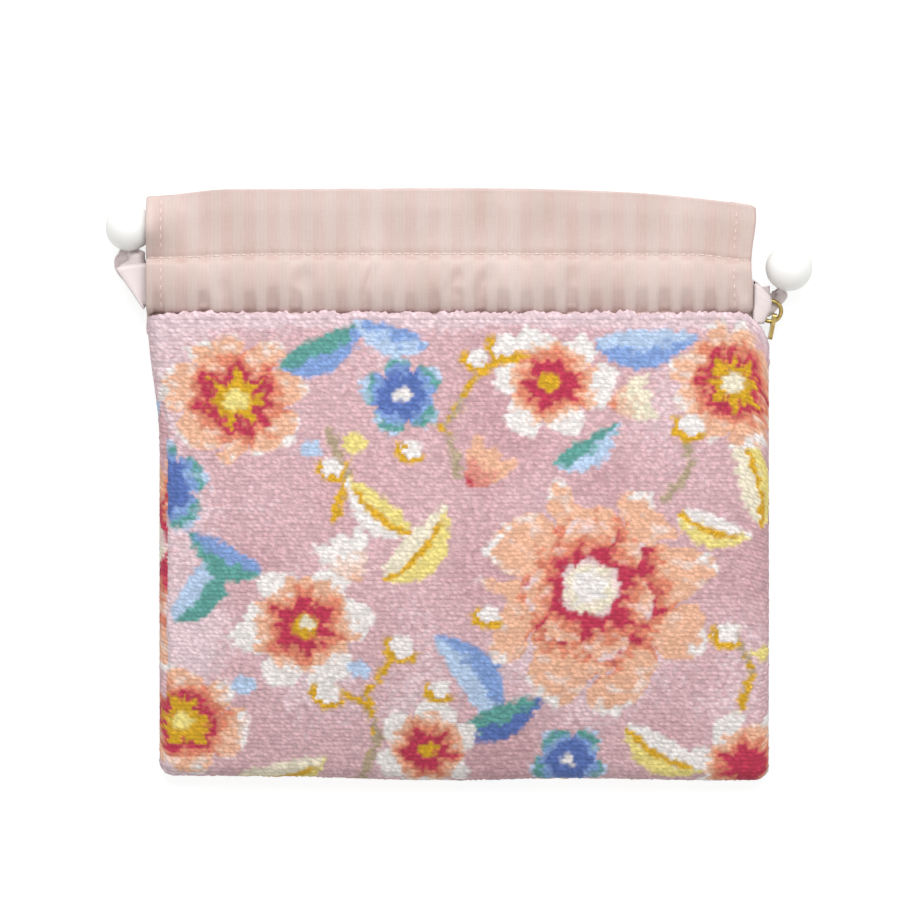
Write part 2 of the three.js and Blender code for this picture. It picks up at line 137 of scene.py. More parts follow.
# Looped chenille: cut cotton and rayon yarn, matte, with a soft bloom of fibre ends.
# Its loops stand in courses 1.4 mm apart, with painted shade in the gaps between them.
def chenille():
    material, tree = new_material("looped_chenille")
    dye_and_painted_light = add_node(tree, "Attribute", attribute_name="dye_and_painted_light")
    lame = add_node(tree, "Attribute", attribute_name="lame")
    cloth = add_node(tree, "UVMap", uv_map="cloth")
    place = add_node(tree, "TexCoord").outputs["Object"]
    parts = add_node(tree, "SeparateXYZ", {"Vector": cloth})
    course = add_node(tree, "Math", {0: parts.outputs["Y"], 1: 1 / COURSE, 2: 0.5},
                      operation="MULTIPLY_ADD")
    # Each course's loops stand nearly half a loop beside the last one's, so the rows are sheared
    shear = add_node(tree, "Math", {0: course, 1: 0.43, 2: 0.0}, operation="MULTIPLY_ADD")
    along = add_node(tree, "Math", {0: parts.outputs["X"], 1: 1 / LOOP, 2: shear},
                     operation="MULTIPLY_ADD")
    rows = add_node(tree, "CombineXYZ", {"X": along, "Y": course})
    loops = add_node(tree, "TexVoronoi", {"Vector": rows, "Scale": 1, "Randomness": 0.75})
    # Painted shade at each loop's edges, and a painted highlight on its middle
    gap = add_node(tree, "MapRange", {"Value": loops, "From Min": 0.25, "From Max": 0.65,
                                      "To Min": 1.08, "To Max": 0.83}, interpolation_type="SMOOTHSTEP")
    # The painted shade line between two courses wanders a little and comes and goes
    uneven = add_node(tree, "TexNoise", {"Vector": rows, "Scale": 0.8, "Detail": 1})
    bent = add_node(tree, "Math", {0: uneven, 1: 0.45, 2: course}, operation="MULTIPLY_ADD")
    turn = add_node(tree, "Math", {0: bent, 1: math.pi, 2: -0.225 * math.pi}, operation="MULTIPLY_ADD")
    wave = add_node(tree, "Math", {0: turn}, operation="SINE")
    ridge = add_node(tree, "Math", {0: wave}, operation="ABSOLUTE")
    valley = add_node(tree, "MapRange", {"Value": ridge, "From Max": 0.6, "To Min": 1.0, "To Max": 0.0},
                      interpolation_type="SMOOTHSTEP")
    dash = add_node(tree, "TexNoise", {"Vector": rows, "Scale": 1.25, "Detail": 1})
    open_part = add_node(tree, "MapRange", {"Value": dash, "From Min": 0.42, "From Max": 0.62})
    course_gap_shade = add_node(tree, "Math", {0: valley, 1: open_part}, operation="MULTIPLY")
    line = add_node(tree, "MapRange", {"Value": course_gap_shade, "To Min": 1.03, "To Max": 0.78})
    painted_gap_shade = add_node(tree, "Math", {0: gap, 1: line}, operation="MULTIPLY")
    # Tufts of fibre about 0.4 mm across, drawn coarser than the fibres are
    fibre = add_node(tree, "TexNoise", {"Vector": place, "Scale": 2400, "Detail": 3, "Roughness": 0.7})
    tuft = add_node(tree, "MapRange", {"Value": fibre, "From Min": 0.3, "From Max": 0.7,
                                       "To Min": 0.93, "To Max": 1.06})
    shade = add_node(tree, "Math", {0: painted_gap_shade, 1: tuft}, operation="MULTIPLY")
    shaded = add_node(tree, "VectorMath", {0: dye_and_painted_light, "Scale": shade}, operation="SCALE")
    low_ridge = add_node(tree, "Math", {0: ridge, 1: 0.3}, operation="MULTIPLY")
    tufts = add_node(tree, "Math", {0: fibre, 1: 0.8, 2: low_ridge}, operation="MULTIPLY_ADD")
    height = add_node(tree, "Math", {0: loops, 1: -1.0, 2: tufts}, operation="MULTIPLY_ADD")
    bump = add_node(tree, "Bump", {"Height": height, "Strength": 0.5, "Distance": 0.0005})
    pile = add_node(tree, "BsdfPrincipled", {
        "Base Color": shaded, "Roughness": 0.95, "Sheen Weight": 0.12, "Sheen Roughness": 0.5,
        "Specular IOR Level": 0.2, "Normal": bump})
    # Flat metal-wrapped threads run in the gold stitches and glint here and there
    glint = add_node(tree, "TexVoronoi", {"Vector": place, "Scale": 1300})
    facet = add_node(tree, "Bump", {"Height": glint, "Strength": 0.9, "Distance": 0.0006})
    thread = add_node(tree, "BsdfPrincipled", {
        "Base Color": colour("#d9a93a"), "Metallic": 1.0, "Roughness": 0.4, "Normal": facet})
    spark = add_node(tree, "Math", {0: glint.outputs["Color"], 1: 0.6}, operation="GREATER_THAN")
    share = add_node(tree, "Math", {0: spark, 1: lame.outputs["Fac"]}, operation="MULTIPLY")
    share = add_node(tree, "Math", {0: share, 1: 0.4}, operation="MULTIPLY")
    both = add_node(tree, "MixShader", {"Fac": share, 1: pile, 2: thread})
    add_node(tree, "OutputMaterial", {"Surface": both})
    return material


# Striped satin of polyester: warp stripes about 3.8 mm wide lie beside matte ones. The satin ones
# are deeper in tone and gloss, so they vanish where they face the light and darken where they don't.
# The finest lines, 1.26 mm apart, are drawn coarser than the threads are.
def striped_satin():
    material, tree = new_material("striped_satin")
    cloth = add_node(tree, "UVMap", uv_map="cloth")
    across = add_node(tree, "SeparateXYZ", {"Vector": cloth})
    turn = add_node(tree, "Math", {0: across, 1: 2 * math.pi / STRIPE, 2: STRIPE_START},
                    operation="MULTIPLY_ADD")
    wave = add_node(tree, "Math", {0: turn}, operation="SINE")
    stripe = add_node(tree, "MapRange", {"Value": wave, "From Min": -0.55, "From Max": 0.55},
                      interpolation_type="SMOOTHSTEP")
    fine_turn = add_node(tree, "Math", {0: across, 1: 2 * math.pi / FINE_STRIPE}, operation="MULTIPLY")
    fine = add_node(tree, "Math", {0: fine_turn}, operation="SINE")
    # Uneven threads along the warp and the weft, and a broad cloud of lighter and darker tone that is
    # painted shade of the header's soft waves
    slubs = []
    for scale, detail in (((3.2, 0.2, 1), 3), ((0.2, 3.0, 1), 2), ((0.07, 0.02, 1), 1)):
        drawn = add_node(tree, "Mapping", {"Vector": cloth, "Scale": scale})
        slubs.append(add_node(tree, "TexNoise", {"Vector": drawn, "Scale": 1.0, "Detail": detail}))
    warp, weft, cloud = slubs
    # The broad cloud is painted shade standing in for soft waves in the cloth
    tone = add_node(tree, "Math", {0: fine, 1: 0.035, 2: cloud}, operation="MULTIPLY_ADD")
    slubbed = add_node(tree, "Math", {0: warp, 1: 0.5, 2: tone}, operation="MULTIPLY_ADD")
    crossed = add_node(tree, "Math", {0: weft, 1: 0.4, 2: slubbed}, operation="MULTIPLY_ADD")
    level = add_node(tree, "MapRange", {"Value": crossed, "From Min": 0.65, "From Max": 1.25})
    thread = add_node(tree, "Math", {0: fine, 1: 0.5, 2: warp}, operation="MULTIPLY_ADD")
    bump = add_node(tree, "Bump", {"Height": thread, "Strength": 0.08, "Distance": 0.0002})
    cloths = []
    for dark, light, roughness, gloss in (("#cab4ad", "#d8c7c2", 0.65, 0.25),
                                          ("#c4a8a0", "#d2bdb7", 0.5, 0.7)):
        tint = add_node(tree, "ValToRGB", {"Fac": level}, [(0, dark), (1, light)])
        cloths.append(add_node(tree, "BsdfPrincipled", {
            "Base Color": tint, "Roughness": roughness, "Specular IOR Level": gloss, "Normal": bump}))
    both = add_node(tree, "MixShader", {"Fac": stripe, 1: cloths[0], 2: cloths[1]})
    add_node(tree, "OutputMaterial", {"Surface": both})
    return material


# Double-faced satin ribbon: fine warp lines along it, a soft lengthwise gloss
def ribbon_satin():
    material, tree = new_material("ribbon_satin")
    cloth = add_node(tree, "UVMap", uv_map="cloth")
    lines = add_node(tree, "Mapping", {"Vector": cloth, "Scale": (4.5, 0.12, 1)})
    warp = add_node(tree, "TexNoise", {"Vector": lines, "Scale": 1.0, "Detail": 3})
    tint = add_node(tree, "ValToRGB", {"Fac": warp}, [(0.3, "#e0d1d2"), (0.7, "#ece1e1")])
    bump = add_node(tree, "Bump", {"Height": warp, "Strength": 0.12, "Distance": 0.0002})
    satin = add_node(tree, "BsdfPrincipled", {
        "Base Color": tint, "Roughness": 0.4, "Specular IOR Level": 0.5, "Sheen Weight": 0.15,
        "Normal": bump})
    add_node(tree, "OutputMaterial", {"Surface": satin})
    return material


# Lining of polyester taffeta: plain weave, thin and even, drawn coarser than its threads are
def lining_weave():
    material, tree = new_material("lining_weave")
    cloth = add_node(tree, "UVMap", uv_map="cloth")
    weave = add_node(tree, "TexWave", {"Vector": cloth, "Scale": 1.3, "Distortion": 0.6}).outputs["Fac"]
    tint = add_node(tree, "ValToRGB", {"Fac": weave}, [(0.0, "#dcc6c0"), (1.0, "#e6d3cd")])
    bump = add_node(tree, "Bump", {"Height": weave, "Strength": 0.2, "Distance": 0.0002})
    plain = add_node(tree, "BsdfPrincipled", {"Base Color": tint, "Roughness": 0.6, "Normal": bump})
    add_node(tree, "OutputMaterial", {"Surface": plain})
    return material


# Imitation pearl: a nacre lacquer over a moulded bead, white to the eye, with a greenish tone and painted
# shade towards its rim
def pearl_lacquer():
    material, tree = new_material("pearl_lacquer")
    place = add_node(tree, "TexCoord").outputs["Object"]
    cloud = add_node(tree, "TexNoise", {"Vector": place, "Scale": 160, "Detail": 2})
    # Painted shade: greyer and greener towards the rim, where the bead turns away
    rim = add_node(tree, "LayerWeight", {"Blend": 0.5}).outputs["Facing"]
    cloud_and_rim_shade = add_node(tree, "Math", {0: cloud, 1: 0.12, 2: rim}, operation="MULTIPLY_ADD")
    base = add_node(tree, "ValToRGB", {"Fac": cloud_and_rim_shade},
                    [(0.1, "#fbfbfa"), (0.6, "#f5f6f2"), (0.95, "#e9ece4")])
    # The faint glow stands in for the light that the lacquer lets through
    lacquer = add_node(tree, "BsdfPrincipled", {
        "Base Color": base, "Roughness": 0.32, "Specular IOR Level": 0.6, "Coat Weight": 0.5,
        "Coat Roughness": 0.12, "Subsurface Weight": 0.85, "Subsurface Radius": (1, 1, 1),
        "Subsurface Scale": 0.009, "Emission Color": colour("#fbfcf8"), "Emission Strength": 0.045})
    add_node(tree, "OutputMaterial", {"Surface": lacquer})
    return material


# Pale gold plating on brass, polished, with fine rubbing marks
def pale_gold():
    material, tree = new_material("pale_gold_plating")
    place = add_node(tree, "TexCoord").outputs["Object"]
    rubbed = add_node(tree, "TexNoise", {"Vector": place, "Scale": 700, "Detail": 4})
    tint = add_node(tree, "ValToRGB", {"Fac": rubbed}, [(0.3, "#9a8248"), (0.7, "#bda76b")])
    rough = add_node(tree, "MapRange", {"Value": rubbed, "To Min": 0.18, "To Max": 0.36})
    gold = add_node(tree, "BsdfPrincipled", {"Base Color": tint, "Metallic": 1.0, "Roughness": rough})
    add_node(tree, "OutputMaterial", {"Surface": gold})
    return material


# Spun polyester sewing thread, a little paler than the satin, with its twist across it
def sewing_thread():
    material, tree = new_material("sewing_thread")
    place = add_node(tree, "TexCoord").outputs["Object"]
    twist = add_node(tree, "TexWave", {"Vector": place, "Scale": 900, "Distortion": 1.0},
                     bands_direction="DIAGONAL").outputs["Fac"]
    tint = add_node(tree, "ValToRGB", {"Fac": twist}, [(0.0, "#e6cfc6"), (1.0, "#f3e2da")])
    thread = add_node(tree, "BsdfPrincipled", {"Base Color": tint, "Roughness": 0.55})
    add_node(tree, "OutputMaterial", {"Surface": thread})
    return material


CHENILLE = chenille()
SATIN = striped_satin()
RIBBON_SATIN = ribbon_satin()
LINING_WEAVE = lining_weave()
PEARL_LACQUER = pearl_lacquer()
PALE_GOLD = pale_gold()
SEWING_THREAD = sewing_thread()


def finish_piece(name, bm, material, body, replaced=()):
    """Makes an object of a bmesh that is in millimetres, and rides it on its body."""
    bmesh.ops.scale(bm, vec=(MM, MM, MM), verts=bm.verts)
    mesh = bpy.data.meshes.new(name)
    bm.to_mesh(mesh)
    bm.free()
    mesh.polygons.foreach_set("use_smooth", [True] * len(mesh.polygons))
    mesh.materials.append(material)
    piece = bpy.data.objects.new(name, mesh)
    bpy.context.scene.collection.objects.link(piece)
    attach(piece, body)
    if replaced:
        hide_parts(*replaced)
    return piece


def thicken(piece, thickness, offset):
    """Gives a laid cloth its thickness in millimetres, inwards at an offset of -1."""
    shell = piece.modifiers.new("thickness", "SOLIDIFY")
    shell.thickness = thickness * MM
    shell.offset = offset


def laid_cloth(columns, rows, place, cloth_size):
    """A grid laid over a form. place gives each point's spot from its shares across and along."""
    bm = bmesh.new()
    bmesh.ops.create_grid(bm, x_segments=columns, y_segments=rows, size=1)
    cloth = bm.loops.layers.uv.new("cloth")
    for face in bm.faces:
        for corner in face.loops:
            u, v = corner.vert.co.x, corner.vert.co.y
            corner[cloth].uv = (cloth_size[0] * (u + 1) / 2, cloth_size[1] * (v + 1) / 2)
    for vert in bm.verts:
        vert.co = place((vert.co.x + 1) / 2, (vert.co.y + 1) / 2)
    return bm


def mix(a, b, share):
    return a + (b - a) * share


def smooth(start, end, value):
    share = min(max((value - start) / (end - start), 0), 1)
    return share * share * (3 - 2 * share)


def bell(distance, width):
    return math.exp(-(distance / width) ** 2)


# The form of the body
def puff_at(across, along):
    rise = 1 - (1 - min(max(along, 0) / PUFF_PEAK, 1)) ** 2
    settle = (PUFF - MOUTH_PUFF) * smooth(PUFF_PEAK, 1, along)
    return (PUFF * rise - settle) * max(1 - across * across, 0) ** 0.8


def corner_drop(share, half, radius):
    overrun = min(max(share * half - (half - radius), 0), radius)
    return radius - math.sqrt(radius * radius - overrun * overrun)


def foot_line(across):
    corner = corner_drop(abs(across), BODY_WIDTH / 2, FOOT_CORNER)
    wave = FOOT_WAVE / 2 * (1 - math.cos(across * 7 + 0.4)) * (1 - across * across)
    return BODY_FOOT + corner + wave + FOOT_LIFT * smooth(-0.2, -1, across)


def mouth_line(across):
    return BODY_MOUTH - corner_drop(max(across, 0), BODY_WIDTH / 2, SHOULDER)


def flare_at(across, along):
    return MOUTH_FLARE * smooth(0.72, 1, along) * max(-across, 0) ** 2


def rolled_in(arc, radius):
    """How far in from the edge and how high on the roll a point of the cloth is."""
    if arc < 0:
        return -arc, 0
    if arc < radius * math.pi / 2:
        angle = arc / radius
        return radius * (1 - math.cos(angle)), math.sin(angle)
    return radius + arc - radius * math.pi / 2, 1


ARC_OVER = EDGE_ROLL * (math.pi / 2 - 1)
SIDE_ARC = BODY_WIDTH / 2 + ARC_OVER
BODY_ARC = BODY_HEIGHT + ARC_OVER
TURN_IN = 1.2
MOUTH_ROLL = CLOTH / 2
MOUTH_TURN = MOUTH_ROLL * math.pi
UNDER_MOUTH = 5
MOUTH_EDGE = BODY_ARC - MOUTH_ROLL + MOUTH_TURN / 2


def skin(front, p, q):
    """The outside of a panel. p runs across from the middle, q up from the foot seam, both on the cloth."""
    over = q - (BODY_ARC - MOUTH_ROLL)
    inset, side_rise = rolled_in(SIDE_ARC - abs(p), EDGE_ROLL)
    across = math.copysign((BODY_WIDTH / 2 - inset) / (BODY_WIDTH / 2), p)
    height, foot_rise = rolled_in(min(q, BODY_ARC - MOUTH_ROLL), EDGE_ROLL)
    foot = foot_line(across)
    y = foot + height * (mouth_line(across) - foot) / BODY_HEIGHT
    along = (y - BODY_FOOT) / BODY_HEIGHT
    rise = EDGE_ROLL * side_rise * foot_rise
    down = 0
    if over > 0:
        if over < MOUTH_TURN:
            y += MOUTH_ROLL * math.sin(over / MOUTH_ROLL)
            down = MOUTH_ROLL * (1 - math.cos(over / MOUTH_ROLL))
        else:
            y -= over - MOUTH_TURN
            down = CLOTH
        down = min(down, rise + 0.2)
    x = BODY_CENTRE + across * BODY_WIDTH / 2 - flare_at(across, along)
    if front:
        gap = SEAM_GAP * smooth(0, 1.5, rise) + 0.05
        return Vector((x, y, EDGE_ROLL + gap + rise - down + puff_at(across, along)))
    return Vector((x, y, EDGE_ROLL - rise + down))


# The print: flowers and leaves of plain generic shapes, worked along the courses
def tones(*codes):
    return [Vector(colour(code)[:3]) for code in codes]


WHITE, CREAM, PEACH, CORAL, CRIMSON = tones("#f6f0ef", "#f4ead3", "#f3bda0", "#e58d72", "#c43c58")
SKY, BLUE, DEEP_BLUE, TEAL, PALE_PINK = tones("#bfd5f3", "#8aa8e0", "#6079bd", "#65a69f", "#f3d9da")
YELLOW, GOLD, KHAKI = tones("#f3e18c", "#dcab2c", "#bba88e")
GROUND_PALE, GROUND, GROUND_DEEP = tones("#edd3db", "#dfb8be", "#d4a9b0")


def wobble(x, y, seed):
    return noise.noise(Vector((x, y, seed)))


def soft_edge(distance, ragged):
    """The share of a colour at a distance inside its edge, in millimetres."""
    return smooth(-0.8, 0.9, distance + 1.1 * ragged)


def ramp(layers, share):
    place = min(max(share, 0), 0.9999) * (len(layers) - 1)
    return mix(layers[int(place)], layers[int(place) + 1], smooth(0.1, 0.9, place % 1))


def flower(cx, cy, radius, petals, turn, layers, notch=0.35, heart=0.15, streak=0.4):
    """A face-on flower. layers are its colours from the heart to the petal tips."""
    fullness, patch = 0.6, 0.5

    def paint(x, y, ragged):
        dx, dy = x - cx, y - cy
        reach = math.hypot(dx, dy)
        part = (math.atan2(dy, dx) - turn + 0.5 * wobble(dx / 14, dy / 14, radius)) * petals / (2 * math.pi)
        which = round(part)
        off = part - which
        lobe = math.cos(math.pi * off)
        size = radius * (1 + 0.2 * wobble((which % petals) * 2.3, radius, 4.2))
        cover = soft_edge(size * (1 - notch * (1 - lobe ** fullness)) - reach, ragged)
        if cover <= 0:
            return None
        share = reach / size
        cloud = wobble(x / 5, y / 3.5, radius)
        between = (1 - lobe) * (1.1 - share) + 0.6 * math.exp(-(off / 0.09) ** 2) * (1 - share)
        share = (share - heart) / (1 - heart) - streak * between + 0.13 * ragged + 0.2 * cloud
        tone = ramp(layers, share)
        return mix(tone, layers[-1], patch * smooth(0.1, 0.4, cloud) * smooth(0.3, 0.8, share)), cover, 0
    return (cx, cy, radius * 1.2 + 1), paint


def leaf(cx, cy, length, width, turn, bend, light, dark, vein=None):
    """A pointed leaf, light on one side of its vein and dark on the other."""
    cos, sin = math.cos(turn), math.sin(turn)

    def paint(x, y, ragged):
        dx, dy = x - cx, y - cy
        u = (dx * cos + dy * sin) / length + 0.5
        if not 0 < u < 1:
            return None
        v = dy * cos - dx * sin - bend * (4 * (u - 0.5) ** 2 - 1)
        half = width / 2 * math.sin(math.pi * u ** 0.8) ** 0.75
        cover = soft_edge(half - abs(v), ragged)
        if cover <= 0:
            return None
        side = smooth(-1.4, 1.4, v + 1.5 * ragged + 3 * wobble(x / 4, y / 3, length))
        tone = mix(dark, light, side)
        if vein is None:
            return tone, cover, 0
        drawn = smooth(1.5, 0.5, abs(v + 0.5 * ragged)) * smooth(0.9, 0.75, u)
        return mix(tone, vein, drawn), cover, drawn if vein is GOLD else 0
    return (cx, cy, length / 2 + abs(bend) + width / 2), paint


def twig(points, width, tone, tip=None):
    """A stalk along a few points, drawn about as wide as a stitch or two."""
    ends = [Vector(point) for point in points]
    middle = sum(ends, Vector((0, 0))) / len(ends)
    reach = max((end - middle).length for end in ends) + width

    def paint(x, y, ragged):
        spot = Vector((x, y))
        cover, metal, used = 0, 0, tone
        for index in range(len(ends) - 1):
            a, b = ends[index], ends[index + 1]
            step = b - a
            share = min(max((spot - a).dot(step) / step.length_squared, 0), 1)
            here = soft_edge(width / 2 - (spot - a - step * share).length, ragged)
            if here > cover:
                cover = here
                gilt = smooth(0.4, 0.7, (index + share) / (len(ends) - 1) + 0.5 * ragged) if tip else 0
                used, metal = mix(tone, tip or tone, gilt), gilt
        return (used, cover, metal) if cover else None
    return (middle.x, middle.y, reach + 2), paint


def berry(cx, cy, width, height, tone, cup=None):
    """A bud or berry, with a gold cup at its lower left where it has one."""
    def paint(x, y, ragged):
        reach = math.hypot((x - cx) / width, (y - cy) / height) * 2
        cover = soft_edge((1 - reach) * width / 2, ragged)
        if cover > 0.5 or cup is None:
            return (tone, cover, 0) if cover else None
        below = smooth(0.3, -0.2, ((y - cy) + 0.6 * (x - cx)) / height)
        rim = soft_edge((1.6 - reach) * width / 2, ragged) * below
        return (cup, rim, 1) if rim > cover else (tone, cover, 0) if cover else None
    return (cx, cy, max(width, height) + 2), paint


def bell_flower(cx, cy, size, turn, tip, cup):
    """A flower seen from the side: a cup that opens in three points."""
    cos, sin = math.cos(turn), math.sin(turn)

    def paint(x, y, ragged):
        dx, dy = x - cx, y - cy
        u, v = (dx * cos + dy * sin) / size, (dy * cos - dx * sin) / size
        if u < -0.5:
            return None
        half = 0.5 * math.sin(min((u + 0.5) * 1.75, 1.5)) ** 0.7
        rim = 0.36 + 0.16 * abs(math.cos(v * 7.5)) - u
        cover = soft_edge(size * min(half - abs(v), rim), ragged)
        if cover <= 0:
            return None
        share = u + 0.5 + 0.2 * ragged + 0.2 * wobble(v * 9, u * 2, size)
        return ramp([cup, mix(cup, tip, 0.5), tip, tip], share), cover, 0
    return (cx, cy, size * 0.8 + 1), paint


PEONY_OUTER = [CRIMSON, CORAL, PEACH, PEACH, PEACH, WHITE]
PEONY_INNER = [CRIMSON, CRIMSON, CORAL, PEACH, PALE_PINK]
BLUSH = [CRIMSON, CORAL, PEACH, WHITE, WHITE, WHITE]
CORAL_BLOOM = [GOLD, CRIMSON, CORAL, PEACH, PEACH, WHITE]
BLUEBELL = [DEEP_BLUE, DEEP_BLUE, BLUE, TEAL, SKY]
PRINT = [
    twig([(-34, -96), (-28, -80), (-32, -66), (-22, -52)], 2.6, KHAKI, GOLD),
    twig([(-29, -82), (-15, -74), (-10, -66)], 2.2, KHAKI, GOLD),
    twig([(-31, -70), (-43, -64)], 2.2, GOLD, GOLD),
    twig([(-2, 6), (-6, 22), (2, 36), (12, 44)], 2.6, KHAKI, GOLD),
    twig([(-5, 20), (-16, 26)], 2.2, GOLD, GOLD),
    twig([(66, -2), (74, 8), (72, 20)], 2.6, KHAKI),
    twig([(-44, 20), (-38, 6), (-42, -8)], 2.8, KHAKI, GOLD),
    twig([(88, -44), (94, -58), (90, -72)], 2.6, KHAKI, GOLD),
    leaf(0, -60, 34, 14, 2.2, 4, SKY, BLUE),
    leaf(12, -72, 30, 11, 0.4, 3, TEAL, DEEP_BLUE),
    leaf(-16, -16, 32, 14, 0.9, 4, CREAM, YELLOW, GOLD),
    leaf(-28, -4, 28, 12, 2.4, -3, WHITE, YELLOW, GOLD),
    leaf(60, 50, 34, 13, 0.1, 3, SKY, BLUE),
    leaf(92, 6, 32, 14, 1.9, 4, CREAM, YELLOW, GOLD),
    leaf(82, -10, 26, 11, -0.3, 3, WHITE, YELLOW, GOLD),
    leaf(-88, -30, 30, 13, 1.1, 4, SKY, TEAL),
    leaf(-78, -20, 28, 11, 2.6, -3, TEAL, BLUE),
    leaf(-60, -92, 32, 13, 0.3, 4, CREAM, YELLOW, GOLD),
    leaf(-46, 48, 32, 12, 0.5, 3, TEAL, BLUE),
    leaf(-24, 52, 26, 10, 2.8, -2, SKY, BLUE),
    leaf(66, -84, 30, 13, -0.5, 3, WHITE, YELLOW, GOLD),
    leaf(40, 16, 26, 10, 0.6, 3, TEAL, SKY),
    flower(44, -34, 39, 8, 0.3, PEONY_OUTER, notch=0.42, heart=0.25, streak=0.6),
    flower(42, -32, 22, 6, 0.8, PEONY_INNER, notch=0.4, heart=0.2, streak=0.6),
    flower(41, -31, 10, 5, 0.2, [WHITE, WHITE, CREAM, PALE_PINK], notch=0.2, heart=0.1, streak=0),
    flower(-52, -44, 23, 6, 0.1, BLUSH, notch=0.4, heart=0.2),
    berry(-52, -44, 9, 8, GOLD), berry(-51, -43, 5, 4, CREAM),
    flower(-74, 30, 23, 7, 0.2, CORAL_BLOOM, notch=0.35, heart=0.12),
    berry(-74, 30, 8, 7, YELLOW),
    flower(28, 36, 20, 6, 0.9, BLUSH, notch=0.42, heart=0.25),
    berry(28, 36, 7, 6, GOLD),
    flower(-20, 32, 14, 5, 0.5, BLUEBELL, notch=0.45, heart=0.15),
    berry(-20, 32, 6, 5, WHITE),
    flower(88, 36, 21, 8, 0.4, CORAL_BLOOM, notch=0.3, heart=0.15),
    berry(88, 36, 8, 7, CREAM),
    flower(-12, -84, 17, 6, 0.4, BLUSH, notch=0.4, heart=0.25),
    berry(-12, -84, 6, 5, GOLD),
    flower(-92, -76, 20, 6, 0.7, CORAL_BLOOM, notch=0.35, heart=0.2),
    berry(-92, -76, 7, 6, YELLOW),
    flower(92, -90, 19, 7, 0.2, BLUSH, notch=0.4, heart=0.2),
    flower(34, -88, 13, 5, 0.9, BLUEBELL, notch=0.45, heart=0.15),
    berry(34, -88, 5, 4.5, WHITE),
    flower(-98, 2, 15, 5, 0.2, BLUEBELL, notch=0.45, heart=0.15),
    bell_flower(-38, -22, 17, 2.0, WHITE, PEACH),
    bell_flower(6, 8, 16, 0.9, PEACH, CRIMSON),
    bell_flower(54, 30, 15, 0.2, CREAM, CORAL),
    *(berry(x, y, width, width - 1, WHITE, GOLD) for x, y, width in (
        (14, 48, 9), (4, 44, 7), (-17, 14, 7), (-44, -66, 8), (-20, -50, 8), (-8, -64, 7),
        (-43, 8, 7), (86, -46, 8), (74, 22, 8), (8, -40, 7))),
    *(berry(x, y, width, width - 1, tone) for x, y, width, tone in (
        (-34, -58, 7, SKY), (-36, 16, 8, YELLOW), (-50, 14, 7, SKY), (98, -52, 7, YELLOW),
        (-72, -64, 8, SKY))),
]


def print_at(x, y, ragged):
    """The dye at a place, with painted light in its ground, and how much of a metal thread runs in it."""
    tint = 0.42 + 0.5 * wobble(x / 26, y / 26, 7.7) + 0.25 * ragged
    # Painted light: the ground is paler in a band low on the body, towards the left edge and near the mouth,
    # with a painted highlight along the roll at the mouth
    tint += 0.3 * smooth(-30, -50, y) * smooth(-80, -66, y) + 0.4 * smooth(-72, -94, x)
    tint += 0.35 * smooth(48, 55, y) + 0.5 * smooth(53, 56.5, y)
    dye_and_painted_light, metal = ramp([GROUND_DEEP, GROUND, GROUND_PALE], tint), 0
    for (cx, cy, reach), paint in PRINT:
        if abs(x - cx) < reach and abs(y - cy) < reach:
            hit = paint(x, y, ragged)
            if hit:
                dye_and_painted_light, metal = mix(dye_and_painted_light, hit[0], hit[1]), mix(metal, hit[2], hit[1])
    return dye_and_painted_light, metal


# Where the back panel's cloth comes round to the front, and how far off the print is that it shows
SEAM_FROM, SEAM_TO, SEAM_SHOWS = -66, 24, 4.6
BEYOND_SEAM = (148, -12)


